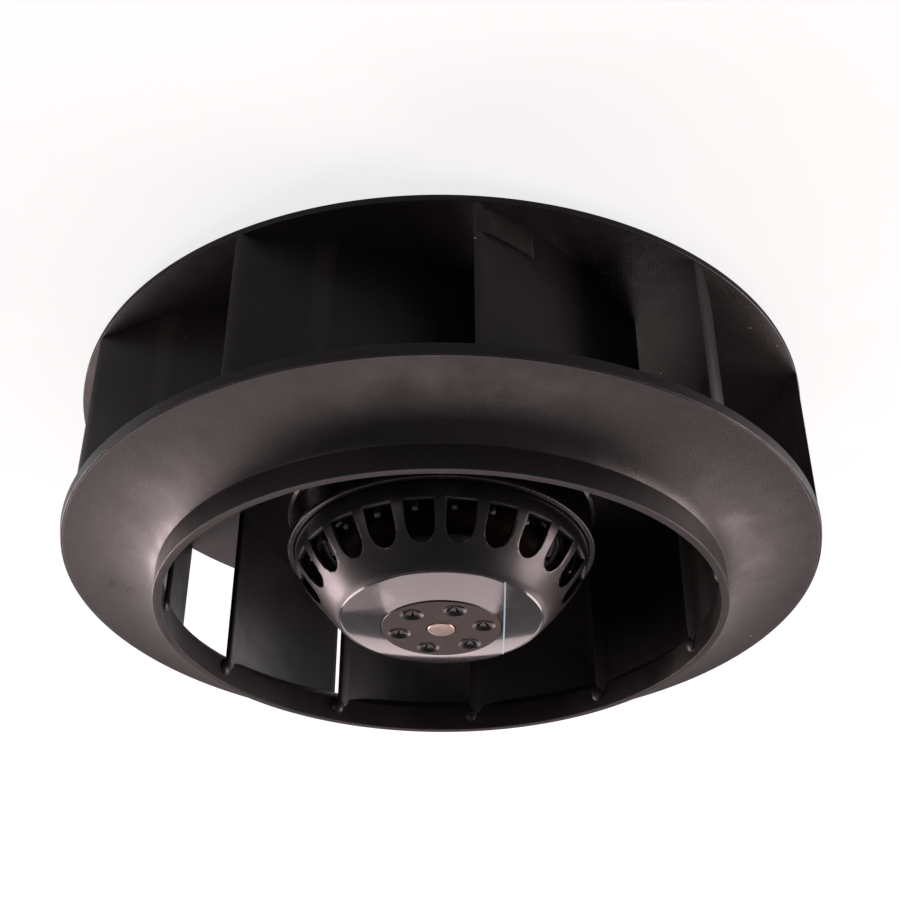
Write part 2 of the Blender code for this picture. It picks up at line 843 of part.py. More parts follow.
# Motor flange with the bearing tube
def make_motor_flange():
    spring_z = UPPER_BEARING_Z - 2 * FIT - SPRING_T
    lower_shoulder = LOWER_BEARING_Z + BEARING_WIDTH + FIT
    bore = BEARING_R + FIT
    seat = CAP_R + FIT
    web = FLANGE_T + TUBE_WALL
    profile = [
        (bore, TUBE_TOP_Z - FIT),
        (TUBE_R, TUBE_TOP_Z - FIT),
        (TUBE_R, web),
        (TUBE_R + TUBE_WALL, FLANGE_T),
        (FLANGE_PAD_R, FLANGE_T),
        (SKIRT_R, FLANGE_T + SKIRT_DROP),
        (SKIRT_R, SKIRT_DROP * 1.4),
        (FLANGE_PAD_R, 0.0),
        (seat, 0.0),
        (seat, CAP_SEAT_T),
        (bore, CAP_SEAT_T),
        (bore, lower_shoulder),
        (bore - SHOULDER, lower_shoulder),
        (bore - SHOULDER, spring_z),
        (bore, spring_z),
    ]
    flange = turned("motor_flange", profile, IRON_STEPS)
    boss_top = SCREW_DEPTH + TUBE_WALL / 2
    bosses = cylinder(SCREW_BOSS_R, FLANGE_T / 2, boss_top, x=SCREW_CIRCLE_R, steps=16)
    join(flange, copies_round("screw_bosses", bosses, SCREW_COUNT, pi / SCREW_COUNT))
    screws = cylinder(SCREW_CORE_R, -SCREW_DEPTH, SCREW_DEPTH, x=SCREW_CIRCLE_R, steps=12)
    cut(flange, copies_round("screw_holes", screws, SCREW_COUNT, pi / SCREW_COUNT))
    pocket_top = GROMMET_HEAD_T + 2 * FIT
    pocket = cylinder(GROMMET_HEAD_R + FIT, -pocket_top, pocket_top, y=GROMMET_CIRCLE_R)
    cut(flange, new_object("grommet_pocket", mesh_from("grommet_pocket", pocket), CUTTERS))
    hole = cylinder(GROMMET_HOLE_R, -FLANGE_T, 2 * FLANGE_T, y=GROMMET_CIRCLE_R)
    cut(flange, new_object("grommet_hole", mesh_from("grommet_hole", hole), CUTTERS))
    return finish(flange, cast_aluminium())


def make_flange_cap():
    """A pressed cap that closes the bearing bore, dished clear of the shaft's end."""
    profile = [
        (0.0, CAP_T),
        (CAP_R, CAP_T),
        (CAP_R, FIT),
        (0.0, FIT),
    ]
    return finish(turned("flange_cap", profile, SMALL_STEPS, closed=False), bright_steel())


def make_lead_grommet():
    """The rubber ring of the lead outlet: a head in its pocket, a neck and an inner lip."""
    head_top = FIT + GROMMET_HEAD_T
    neck = GROMMET_HOLE_R - FIT
    lip = GROMMET_HOLE_R + GROMMET_HEAD_T / 2
    lip_z = FLANGE_T + FIT
    profile = [
        (GROMMET_BORE_R, lip_z + GROMMET_HEAD_T),
        (neck, lip_z + GROMMET_HEAD_T),
        (lip, lip_z),
        (neck, lip_z),
        (neck, head_top),
        (GROMMET_HEAD_R, head_top),
        (GROMMET_HEAD_R, FIT),
        (GROMMET_BORE_R, FIT),
    ]
    grommet = turned("lead_grommet", profile, SMALL_STEPS)
    grommet.location.y = GROMMET_CIRCLE_R
    return finish(grommet, rubber())


make_motor_flange()
make_flange_cap()
make_lead_grommet()
make_stator_core()
make_insulators()
make_stator_winding()
make_bearing("lower", LOWER_BEARING_Z)
make_bearing("upper", UPPER_BEARING_Z)
make_bearing_spring()
make_shaft()
make_circlip()
make_rotor_can()
make_rotor_label()
make_rotor_iron()
make_cage_rings()
make_back_plate()
make_shroud()
make_blades()
make_balance_clip()

# Each turning group hangs from an empty on the shaft axis
FIXED = {"motor_flange", "flange_cap", "lead_grommet", "stator_core", "stator_winding"}
FIXED |= {"lower_insulator", "upper_insulator", "bearing_spring"}
FIXED |= {"lower_bearing_outer_ring", "upper_bearing_outer_ring"}


def hang(axis_name, pieces):
    axis = new_object(axis_name, None)
    for piece in pieces:
        piece.parent = axis


PIECES = list(PARTS.objects)
CAGES = [piece for piece in PIECES if piece.name.endswith("_bearing_balls")]
hang("rotor_axis", [piece for piece in PIECES if piece.name not in FIXED and piece not in CAGES])
for cage in CAGES:
    hang(cage.name + "_axis", [cage])
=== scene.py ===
"""Looks of the plug fan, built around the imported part."""

from math import acos, asin, atan2, copysign, cos, hypot, pi, radians, sin, sqrt, tau

import bmesh
import bpy
from mathutils import Matrix, Vector


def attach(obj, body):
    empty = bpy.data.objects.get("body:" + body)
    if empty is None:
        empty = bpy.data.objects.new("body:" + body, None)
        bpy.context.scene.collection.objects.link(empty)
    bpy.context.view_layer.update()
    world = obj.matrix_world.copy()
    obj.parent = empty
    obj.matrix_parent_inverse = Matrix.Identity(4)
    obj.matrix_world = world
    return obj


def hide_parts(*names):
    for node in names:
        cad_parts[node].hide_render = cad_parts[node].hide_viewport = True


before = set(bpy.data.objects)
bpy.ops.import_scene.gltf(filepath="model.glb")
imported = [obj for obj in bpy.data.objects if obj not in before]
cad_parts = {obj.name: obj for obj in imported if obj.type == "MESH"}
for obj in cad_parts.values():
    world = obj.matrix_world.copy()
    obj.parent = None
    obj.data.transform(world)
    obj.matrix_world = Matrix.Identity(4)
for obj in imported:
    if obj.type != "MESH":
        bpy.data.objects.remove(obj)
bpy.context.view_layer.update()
MM = 0.001

# Wheel sizes, in millimetres
WHEEL_R = 110.0
BACK_Z = 5.0
PLATE_Z = 7.0
RIM_Z = 54.6
RIM_LOW_Z = 51.6
NECK_Z = 61.3
BORE_LOW_Z = 60.8
LIP_Z = 68.6
NECK_R = 82.5
NECK_BORE_R = 80.1
FLARE = radians(75)
COLLAR_R = 45.0
COLLAR_BORE_R = 43.9
COLLAR_TOP_Z = 47.2
COLLAR_RIB_Z = 34.1
COLLAR_PLATE_R = 53.0
COLLAR_PLATE_T = 0.6
PLATE_GROOVE_R = 59.0
PLATE_GROOVE_DEPTH = 0.25
WHEEL_STEPS = 288
BLADES = 11
BLADE_T = 1.8
BLADE_END_T = 0.9
BLADE_WRAP = radians(37.5)
BLADE_ARC_R = 140.0
BLADE_LEAD_R = 79.6
BLADE_END_R = 109.85
BLADE_TIP = radians(-28.95)
BLADE_STEPS = 40
BLADE_SINK = 0.05
FOOT_Z = 63.4
FOOT_SIZE = (1.5, 2.3, 2.7)
CLIP_BLADE = 2
CLIP_LENGTH = 15.0
CLIP_HEIGHT = 7.8
CLIP_LOW_Z = 9.2
CLIP_ROLL = 1.8
CLIP_GAP = 0.12
CLIP_REACH = 0.85
CLIP_STEPS = 16

# Rotor sizes, in millimetres
CAN_R = 43.6
CAN_WALL = 0.75
CAN_WALL_DROP = 0.5
CAN_STEPS = 264
CAN_LOW_Z = 9.4
SHADE_SHEET_GAP = 0.02
SLOTS = 22
SLOT_ANGLE = radians(0.5)
SLOT_HALF = 4.3
SLOT_Z = 52.0
SLOT_STRAIGHT_Z = 57.2
SLOT_END_Z = 61.9
FACE_Z = 70.7
FACE_R = 17.3
FACE_DISC_T = 1.7
FACE_BORE_R = 4.35
HOLES = 6
HOLE_ANGLE = radians(12)
HOLE_CIRCLE_R = 12.5
HOLE_R = 3.5
TABS = 5
TAB_CUT = ((0.45, 0.10), (1.4, 0.26), (2.5, 0.36), (2.9, 0.16))
TAB_CUT_Z = (-1.6, -0.3)
LABEL_R = 29.6
LABEL_Z = 67.7
LABEL_T = 0.25
LABEL_BORE_R = FACE_R + 0.35
LINE_ENDS = ((-17.6, -23.4), (-18.7, 22.4))
LINE_HALF = 0.22
LINE_STEPS = 40
SHAFT_R = 4.0
SHAFT_LOW_Z = 2.6
SHAFT_TOP_Z = 71.0
CAGE_IN_R = 35.4
CAGE_R = 41.0
CAGE_Z = 42.8
CAGE_TOP_Z = 47.0
PIN_CIRCLE_R = 38.2
PIN_TURN = radians(2.6)
PIN_R = 0.9
PIN_TOP_Z = 53.2

# Dust flecks, at pixels of the 900 x 900 picture
FLECKS = ((475, 238), (661, 373), (750, 328), (777, 346), (751, 636))
FLECK_R = 0.34


# Mesh helpers
def mesh_object(name, verts, faces, sharp=32):
    """A shaded object from points in millimetres."""
    mesh = bpy.data.meshes.new(name)
    mesh.from_pydata([Vector(v) * MM for v in verts], [], faces)
    bm = bmesh.new()
    bm.from_mesh(mesh)
    bmesh.ops.remove_doubles(bm, verts=bm.verts, dist=0.000002)
    bmesh.ops.dissolve_degenerate(bm, edges=bm.edges, dist=0.000001)
    bmesh.ops.recalc_face_normals(bm, faces=bm.faces)
    bm.to_mesh(mesh)
    bm.free()
    mesh.shade_smooth()
    mesh.set_sharp_from_angle(angle=radians(sharp))
    obj = bpy.data.objects.new(name, mesh)
    bpy.context.scene.collection.objects.link(obj)
    return obj


def fillet(points, closed=True, segments=3):
    """Rounds the corners of a profile of (radius, height, corner radius) points."""
    out = []
    count = len(points)
    for i, (r, z, round_r) in enumerate(points):
        here = Vector((r, z))
        if round_r <= 0 or (not closed and i in (0, count - 1)):
            out.append((r, z))
            continue
        before = Vector(points[i - 1][:2]) - here
        after = Vector(points[(i + 1) % count][:2]) - here
        angle = before.angle(after)
        if angle > radians(176):
            out.append((r, z))
            continue
        reach = round_r / abs(sin(angle / 2) / cos(angle / 2))
        reach = min(reach, before.length * 0.48, after.length * 0.48)
        start = here + before.normalized() * reach
        end = here + after.normalized() * reach
        for k in range(segments + 1):
            t = k / segments
            point = start * (1 - t) ** 2 + here * 2 * t * (1 - t) + end * t**2
            out.append((point.x, point.y))
    return out


def smooth_path(points, steps=5):
    """A Catmull-Rom curve through (radius, height) points."""
    pts = [Vector(p) for p in points]
    pts = [2 * pts[0] - pts[1], *pts, 2 * pts[-1] - pts[-2]]
    out = []
    for a, b, c, d in zip(pts, pts[1:], pts[2:], pts[3:]):
        for k in range(steps):
            t = k / steps
            bend = (2 * a - 5 * b + 4 * c - d) * t * t + (3 * b - a - 3 * c + d) * t**3
            p = 0.5 * (2 * b + (c - a) * t + bend)
            out.append((p.x, p.y))
    out.append(tuple(pts[-2]))
    return out


def lathe(name, profile, steps=256, closed=True, sharp=32):
    """Turns a (radius, height) profile about Z."""
    ring = [(cos(tau * i / steps), sin(tau * i / steps)) for i in range(steps)]
    verts = [(r * c, r * s, z) for c, s in ring for r, z in profile]
    count = len(profile)
    faces = []
    for i in range(steps):
        j = (i + 1) % steps
        for k in range(count if closed else count - 1):
            m = (k + 1) % count
            faces.append((i * count + k, j * count + k, j * count + m, i * count + m))
    return mesh_object(name, verts, faces, sharp)


def apply_modifiers(obj):
    """Replaces an object's mesh by the one that its modifiers make."""
    graph = bpy.context.evaluated_depsgraph_get()
    mesh = bpy.data.meshes.new_from_object(obj.evaluated_get(graph))
    obj.modifiers.clear()
    obj.data = mesh
    return obj


def bevel(obj, width, segments=2, angle=35):
    """Rounds the edges that are sharper than an angle in degrees."""
    step = obj.modifiers.new("bevel", "BEVEL")
    step.width = width * MM
    step.segments = segments
    step.limit_method = "ANGLE"
    step.angle_limit = radians(angle)
    step.use_clamp_overlap = True
    step.harden_normals = False
    apply_modifiers(obj)
    obj.data.shade_smooth()
    obj.data.set_sharp_from_angle(angle=radians(40))
    return obj


def flat_tops(obj):
    """Shades level faces flat, so that the holes cut in them leave no streaks."""
    for polygon in obj.data.polygons:
        if polygon.normal.z > 0.999:
            polygon.use_smooth = False


def cut(obj, cutter):
    """Takes the cutter's shape out of an object, and removes the cutter."""
    step = obj.modifiers.new("cut", "BOOLEAN")
    step.operation = "DIFFERENCE"
    step.solver = "EXACT"
    step.object = cutter
    apply_modifiers(obj)
    bpy.data.objects.remove(cutter, do_unlink=True)
    return obj


def joined_object(name, bm):
    """An object from a bmesh that holds copies of finished meshes."""
    mesh = bpy.data.meshes.new(name)
    bm.to_mesh(mesh)
    bm.free()
    mesh.shade_smooth()
    mesh.set_sharp_from_angle(angle=radians(35))
    out = bpy.data.objects.new(name, mesh)
    bpy.context.scene.collection.objects.link(out)
    return out


def merged(name, objects):
    """Joins the meshes of several objects into one object."""
    bm = bmesh.new()
    for obj in objects:
        first = len(bm.verts)
        bm.from_mesh(obj.data)
        bm.verts.ensure_lookup_table()
        bmesh.ops.transform(bm, matrix=obj.matrix_basis, verts=bm.verts[first:])
        bpy.data.objects.remove(obj, do_unlink=True)
    return joined_object(name, bm)


def turned_copies(name, obj, count, first_angle=0.0):
    """Repeats an object's mesh about Z, in one object."""
    bm = bmesh.new()
    for i in range(count):
        first = len(bm.verts)
        bm.from_mesh(obj.data)
        bm.verts.ensure_lookup_table()
        turn = Matrix.Rotation(first_angle + i * tau / count, 4, "Z")
        bmesh.ops.transform(bm, matrix=turn, verts=bm.verts[first:])
    bpy.data.objects.remove(obj, do_unlink=True)
    return joined_object(name, bm)


def prism(name, loops, sharp=32):
    """Skins a list of equal loops of points, with both ends closed."""
    count = len(loops[0])
    verts = [p for loop in loops for p in loop]
    faces = [tuple(range(count))[::-1], tuple(range((len(loops) - 1) * count, len(loops) * count))]
    for a in range(len(loops) - 1):
        for k in range(count):
            m = (k + 1) % count
            faces.append((a * count + k, a * count + m, (a + 1) * count + m, (a + 1) * count + k))
    return mesh_object(name, verts, faces, sharp)


# Materials
class Surface:
    """A material whose look comes from its object's own coordinates."""

    def __init__(self, name):
        self.material = bpy.data.materials.new(name)
        self.material.use_nodes = True
        self.tree = self.material.node_tree
        self.shader = self.tree.nodes["Principled BSDF"]
        self.where = self.node("ShaderNodeTexCoord").outputs["Object"]

    def node(self, kind, **values):
        made = self.tree.nodes.new(kind)
        for key, value in values.items():
            if key in made.inputs:
                made.inputs[key].default_value = value
            else:
                setattr(made, key, value)
        return made

    def link(self, source, target):
        self.tree.links.new(source, target)

    def noise(self, scale, detail=3.0, rough=0.55, stretch=None):
        made = self.node("ShaderNodeTexNoise", Scale=scale, Detail=detail, Roughness=rough)
        if stretch:
            mapping = self.node("ShaderNodeMapping", Scale=stretch)
            self.link(self.where, mapping.inputs["Vector"])
            self.link(mapping.outputs["Vector"], made.inputs["Vector"])
        else:
            self.link(self.where, made.inputs["Vector"])
        return made.outputs["Fac"]

    def ramp(self, source, low, high, low_value, high_value):
        made = self.node("ShaderNodeMapRange")
        self.link(source, made.inputs["Value"])
        made.inputs["From Min"].default_value = low
        made.inputs["From Max"].default_value = high
        made.inputs["To Min"].default_value = low_value
        made.inputs["To Max"].default_value = high_value
        return made.outputs["Result"]

    def mix(self, factor, first, second):
        made = self.node("ShaderNodeMix", data_type="RGBA")
        self.link(factor, made.inputs[0])
        for source, index in ((first, 6), (second, 7)):
            if isinstance(source, tuple):
                made.inputs[index].default_value = (*source, 1.0)
            else:
                self.link(source, made.inputs[index])
        return made.outputs[2]

    def total(self, first, second):
        made = self.node("ShaderNodeMath", operation="ADD")
        self.link(first, made.inputs[0])
        self.link(second, made.inputs[1])
        return made.outputs[0]

    def bump(self, height, strength, distance, onto=None):
        made = self.node("ShaderNodeBump", Strength=strength, Distance=distance)
        self.link(height, made.inputs["Height"])
        if onto:
            self.link(onto, made.inputs["Normal"])
        return made.outputs["Normal"]


def make_surface(
    name,
    dark,
    light,
    rough,
    metallic=0.0,
    patch_scale=40.0,
    grain_scale=2200.0,
    grain=0.2,
    coat=0.0,
    specular=0.5,
    dust=0.0,
    dust_colour=(0.30, 0.28, 0.26),
    stretch=None,
    edge=None,
    coat_rough=0.16,
    mottle=0.03,
    mottle_scale=160.0,
):
    """A patchy, grained finish, with lightened edges that are partly wear and partly painted edge
    highlight, dust and a coat where they are asked for.
    """
    s = Surface(name)
    patches = s.noise(patch_scale, 5.0, 0.6)
    blotches = s.noise(mottle_scale, 4.0, 0.65)
    fine = s.noise(grain_scale, 2.0, 0.5, stretch)
    colour = s.mix(s.ramp(patches, 0.32, 0.68, 0.0, 1.0), dark, light)
    # Sharp edges, found by their pointiness, are lightened toward the edge colour: partly wear, partly
    # painted edge highlight.
    if edge:
        geometry = s.node("ShaderNodeNewGeometry")
        edge_wear_and_highlight = s.ramp(geometry.outputs["Pointiness"], 0.53, 0.60, 0.0, 0.7)
        colour = s.mix(edge_wear_and_highlight, colour, edge)
    if dust:
        specks = s.noise(900.0, 2.0, 0.4)
        clouds = s.noise(18.0, 3.0, 0.6)
        speck = s.ramp(specks, 0.70, 0.76, 0.0, 1.0)
        cloud = s.ramp(clouds, 0.45, 0.75, 0.0, dust)
        both = s.node("ShaderNodeMath", operation="MULTIPLY")
        s.link(speck, both.inputs[0])
        s.link(cloud, both.inputs[1])
        colour = s.mix(both.outputs[0], colour, dust_colour)
    s.link(colour, s.shader.inputs["Base Color"])
    base_rough = s.ramp(patches, 0.3, 0.7, rough[0], rough[1])
    wiped = s.ramp(blotches, 0.3, 0.7, -mottle, mottle)
    s.link(s.total(base_rough, wiped), s.shader.inputs["Roughness"])
    s.shader.inputs["Metallic"].default_value = metallic
    s.shader.inputs["Specular IOR Level"].default_value = specular
    if coat:
        s.shader.inputs["Coat Weight"].default_value = coat
        s.shader.inputs["Coat Roughness"].default_value = coat_rough
    waves = s.noise(patch_scale * 4, 2.0, 0.5)
    low = s.bump(waves, 0.05, 0.0004)
    s.link(s.bump(fine, grain, 0.00012, low), s.shader.inputs["Normal"])
    return s.material


PLASTIC = make_surface(
    "wheel_plastic",
    (0.0110, 0.0090, 0.0090),
    (0.0155, 0.0128, 0.0128),
    (0.34, 0.44),
    patch_scale=28.0,
    grain_scale=2300.0,
    grain=0.55,
    specular=0.5,
    dust=0.15,
    edge=(0.035, 0.030, 0.029),
    mottle=0.10,
    mottle_scale=80.0,
)
# The pale edge colour here is a painted highlight along the collar's rims.
HUB_PLASTIC = make_surface(
    "hub_plastic",
    (0.0100, 0.0080, 0.0078),
    (0.0140, 0.0110, 0.0106),
    (0.20, 0.28),
    patch_scale=60.0,
    grain_scale=1500.0,
    grain=0.5,
    specular=0.7,
    dust=0.3,
    edge=(0.080, 0.072, 0.070),
    mottle=0.05,
    mottle_scale=300.0,
)
PAINT = make_surface(
    "rotor_paint",
    (0.005, 0.005, 0.0055),
    (0.008, 0.0078, 0.008),
    (0.33, 0.39),
    patch_scale=60.0,
    grain_scale=900.0,
    grain=0.06,
    coat=0.1,
    specular=0.6,
    dust=0.35,
    edge=(0.10, 0.095, 0.09),
)
FACE_PAINT = make_surface(
    "rotor_face_paint",
    (0.040, 0.029, 0.026),
    (0.056, 0.042, 0.038),
    (0.50, 0.60),
    patch_scale=90.0,
    grain_scale=2600.0,
    grain=0.8,
    specular=0.4,
    mottle=0.06,
    mottle_scale=900.0,
)
LABEL = make_surface(
    "label_foil",
    (0.030, 0.030, 0.033),
    (0.042, 0.040, 0.042),
    (0.10, 0.15),
    patch_scale=120.0,
    grain_scale=500.0,
    grain=0.03,
    coat=1.0,
    coat_rough=0.07,
    specular=1.0,
)
LABEL_LINE = make_surface(
    "label_line",
    (0.42, 0.62, 0.72),
    (0.52, 0.70, 0.78),
    (0.25, 0.35),
    patch_scale=200.0,
    grain_scale=900.0,
    grain=0.05,
)
SHAFT_STEEL = make_surface(
    "shaft_steel",
    (0.46, 0.36, 0.31),
    (0.60, 0.50, 0.44),
    (0.28, 0.38),
    metallic=0.9,
    patch_scale=300.0,
    grain_scale=4000.0,
    grain=0.25,
)
BRIGHT_STEEL = make_surface(
    "bright_steel",
    (0.50, 0.50, 0.50),
    (0.64, 0.63, 0.62),
    (0.20, 0.32),
    metallic=1.0,
    patch_scale=150.0,
    grain_scale=3000.0,
    grain=0.1,
    stretch=(1.0, 1.0, 8.0),
)
SPRING_STEEL = make_surface(
    "spring_steel",
    (0.16, 0.15, 0.15),
    (0.24, 0.22, 0.21),
    (0.30, 0.42),
    metallic=1.0,
    patch_scale=120.0,
    grain_scale=2600.0,
    grain=0.12,
)
CAST = make_surface(
    "cast_aluminium",
    (0.42, 0.42, 0.43),
    (0.56, 0.56, 0.57),
    (0.38, 0.52),
    metallic=0.9,
    patch_scale=60.0,
    grain_scale=1800.0,
    grain=0.5,
    edge=(0.75, 0.75, 0.76),
)
CAGE = make_surface(
    "cage_aluminium",
    (0.30, 0.30, 0.31),
    (0.46, 0.46, 0.47),
    (0.30, 0.45),
    metallic=0.9,
    patch_scale=140.0,
    grain_scale=2200.0,
    grain=0.4,
)
# The cage's aluminium darkened to near black: painted shade for the ring and pins deep inside the can.
CAGE_SHADE = make_surface(
    "cage_painted_shade",
    (0.010, 0.010, 0.010),
    (0.018, 0.017, 0.017),
    (0.55, 0.70),
    specular=0.2,
    patch_scale=140.0,
    grain_scale=2200.0,
    grain=0.4,
)
# Near-black matte sheet inside the can: painted shade for the can's dim inside.
CAN_SHADE = make_surface(
    "can_painted_shade",
    (0.004, 0.004, 0.004),
    (0.007, 0.0065, 0.006),
    (0.75, 0.88),
    specular=0.05,
    patch_scale=90.0,
    grain_scale=1800.0,
    grain=0.3,
)
FLECK = make_surface(
    "dust_fleck",
    (0.30, 0.29, 0.27),
    (0.50, 0.48, 0.45),
    (0.60, 0.80),
    patch_scale=900.0,
    grain_scale=4000.0,
    grain=0.4,
)
IRON = make_surface(
    "electrical_steel",
    (0.13, 0.13, 0.14),
    (0.20, 0.20, 0.21),
    (0.42, 0.58),
    metallic=0.9,
    patch_scale=60.0,
    grain_scale=900.0,
    grain=0.5,
    stretch=(0.2, 0.2, 6.0),
)
# The winding's copper darkened to near black: painted shade for the winding deep inside the can.
COPPER_SHADE = make_surface(
    "copper_wire_painted_shade",
    (0.0060, 0.0040, 0.0034),
    (0.0140, 0.0080, 0.0056),
    (0.75, 0.85),
    specular=0.05,
    patch_scale=120.0,
    grain_scale=1500.0,
    grain=0.3,
)
INSULATOR = make_surface(
    "insulator_plastic",
    (0.006, 0.006, 0.006),
    (0.010, 0.010, 0.009),
    (0.75, 0.85),
    specular=0.05,
    patch_scale=80.0,
    grain_scale=1800.0,
    grain=0.15,
)
RUBBER = make_surface(
    "rubber",
    (0.010, 0.010, 0.010),
    (0.018, 0.018, 0.018),
    (0.60, 0.75),
    patch_scale=120.0,
    grain_scale=2600.0,
    grain=0.35,
    dust=0.5,
)
CLIP = make_surface(
    "clip_steel",
    (0.020, 0.017, 0.016),
    (0.030, 0.026, 0.024),
    (0.35, 0.48),
    metallic=0.3,
    patch_scale=150.0,
    grain_scale=2600.0,
    grain=0.2,
    edge=(0.05, 0.045, 0.042),
)


def piece(obj, material, body, node=None):
    """Gives an object its finish and body, and hides the part's node that it stands in for."""
    obj.data.materials.clear()
    obj.data.materials.append(material)
    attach(obj, body)
    if node:
        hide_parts(node)
    return obj


# Shroud
def shroud_curve(inner_r, low_z, high_z, count):
    """Part of an ellipse from the neck out to the rim, where it runs level."""
    width = (WHEEL_R - inner_r) / sin(FLARE)
    rise = (high_z - low_z) / (1 - cos(FLARE))
    angles = [FLARE * (1 - i / count) for i in range(count + 1)]
    return [(WHEEL_R - width * sin(a), low_z + rise * (1 - cos(a))) for a in angles]


def shroud_under_z(r):
    """Height of the shroud's inner face at a radius."""
    share = min((WHEEL_R - r) / (WHEEL_R - NECK_BORE_R), 1.0)
    rise = (BORE_LOW_Z - RIM_LOW_Z) / (1 - cos(FLARE))
    return RIM_LOW_Z + rise * (1 - cos(asin(share * sin(FLARE))))


outside = shroud_curve(NECK_R, RIM_Z, NECK_Z, 22)
inside = shroud_curve(NECK_BORE_R, RIM_LOW_Z, BORE_LOW_Z, 18)
neck = fillet(
    [
        (*inside[1], 0),
        (NECK_BORE_R, BORE_LOW_Z, 0.5),
        (NECK_BORE_R, LIP_Z, 0.35),
        (NECK_R, LIP_Z, 0.35),
        (NECK_R, NECK_Z, 0.35),
        (*outside[1], 0),
    ],
    False,
)
rim = fillet(
    [
        (*outside[-2], 0),
        (WHEEL_R - 0.95, RIM_Z, 0.05),
        (WHEEL_R - 0.85, RIM_Z - 0.22, 0.05),
        (WHEEL_R - 0.60, RIM_Z - 0.10, 0.10),
        (WHEEL_R - 0.42, RIM_Z - 0.30, 0.15),
        (WHEEL_R, RIM_LOW_Z + 0.4, 0.2),
        (WHEEL_R - 0.05, RIM_LOW_Z, 0.2),
        (*inside[-2], 0),
    ],
    False,
)
profile = neck + outside[2:-2] + rim + inside[2:-2][::-1]
shroud = lathe("shroud_shell", profile, WHEEL_STEPS)
piece(shroud, PLASTIC, "rotor", "shroud")

# Back plate with its collar
collar = [
    (COLLAR_BORE_R, COLLAR_TOP_Z, 0.2),
    (COLLAR_R + 0.5, COLLAR_TOP_Z, 0.35),
    (COLLAR_R + 0.8, COLLAR_TOP_Z - 1.0, 0.3),
    (COLLAR_R, COLLAR_TOP_Z - 1.6, 0.15),
    (COLLAR_R, COLLAR_RIB_Z + 1.0, 0.3),
    (COLLAR_R + 1.4, COLLAR_RIB_Z + 0.5, 0.3),
    (COLLAR_R + 1.4, COLLAR_RIB_Z - 0.5, 0.3),
    (COLLAR_R + 0.2, COLLAR_RIB_Z - 1.0, 0.15),
    (COLLAR_R + 0.4, PLATE_Z, 5.0),
    (COLLAR_PLATE_R, PLATE_Z, 0),
    (COLLAR_PLATE_R, PLATE_Z - COLLAR_PLATE_T, 0),
    (COLLAR_BORE_R, PLATE_Z - COLLAR_PLATE_T, 0),
]
disc = [
    (COLLAR_BORE_R, PLATE_Z - COLLAR_PLATE_T, 0),
    (COLLAR_PLATE_R, PLATE_Z - COLLAR_PLATE_T, 0),
    (COLLAR_PLATE_R, PLATE_Z, 0),
    (WHEEL_R, PLATE_Z, 0.3),
    (WHEEL_R, BACK_Z, 0.4),
    (PLATE_GROOVE_R + 1.0, BACK_Z, 0),
    (PLATE_GROOVE_R + 0.6, BACK_Z + PLATE_GROOVE_DEPTH, 0.1),
    (PLATE_GROOVE_R - 0.6, BACK_Z + PLATE_GROOVE_DEPTH, 0.1),
    (PLATE_GROOVE_R - 1.0, BACK_Z, 0),
    (COLLAR_BORE_R, BACK_Z, 0.5),
]
plate = lathe("back_plate_disc", fillet(disc), WHEEL_STEPS)
piece(plate, PLASTIC, "rotor", "back_plate")
hub = lathe("back_plate_collar", fillet(collar), WHEEL_STEPS)
piece(hub, HUB_PLASTIC, "rotor", None)


# Blades
def blade_arc():
    """Centre of the blade's arc, with the tip on +X, and the arc's angle at the leading edge."""
    tip = Vector((BLADE_END_R, 0.0))
    lead = Vector((BLADE_LEAD_R * cos(BLADE_WRAP), -BLADE_LEAD_R * sin(BLADE_WRAP)))
    chord = tip - lead
    across = Vector((chord.y, -chord.x)).normalized()
    if across.dot(tip + lead) > 0:
        across.negate()
    centre = (tip + lead) / 2 + across * sqrt(BLADE_ARC_R**2 - (chord.length / 2) ** 2)
    return centre, atan2(lead.y - centre.y, lead.x - centre.x)


BLADE_CENTRE, BLADE_LEAD_ANGLE = blade_arc()


def arc_angle_at(reach, radius):
    """Arc angle at which an arc of this reach comes out to a radius of the wheel."""
    span = BLADE_CENTRE.length
    toward = atan2(BLADE_CENTRE.y, BLADE_CENTRE.x)
    share = (radius**2 - span**2 - reach**2) / (2 * reach * span)
    tip = Vector((radius, 0.0))
    found = [toward + acos(share), toward - acos(share)]
    return min(found, key=lambda a: (BLADE_CENTRE + reach * Vector((cos(a), sin(a))) - tip).length)


def blade_half(share):
    """Half the blade's thickness at a share of the way from the leading edge to the tip."""
    return (BLADE_T + (BLADE_END_T - BLADE_T) * share) / 2


def blade_points():
    """Outer and inner side points from the rounded leading edge to the tip."""
    half = blade_half(0)
    ends = [arc_angle_at(BLADE_ARC_R + side * blade_half(1), BLADE_END_R) for side in (1, -1)]
    nose = copysign(half / BLADE_ARC_R, ends[0] - BLADE_LEAD_ANGLE)
    rows = []
    for turn in [radians(t) for t in (10, 25, 40, 55, 72)]:
        angle = BLADE_LEAD_ANGLE + nose * (1 - cos(turn))
        rows.append([(BLADE_ARC_R + side * half * sin(turn), angle) for side in (1, -1)])
    start = BLADE_LEAD_ANGLE + nose
    for i in range(BLADE_STEPS + 1):
        share = i / BLADE_STEPS
        sides = ((blade_half(share), ends[0]), (-blade_half(share), ends[1]))
        rows.append([(BLADE_ARC_R + off, start + (end - start) * share) for off, end in sides])
    return [[BLADE_CENTRE + r * Vector((cos(a), sin(a))) for r, a in pair] for pair in rows]


def blade_top(radius):
    """Top of the blade: the shroud's inner face, and the neck's wall inside the bore."""
    if radius > NECK_BORE_R + 0.1:
        return shroud_under_z(radius) + BLADE_SINK
    return FOOT_Z


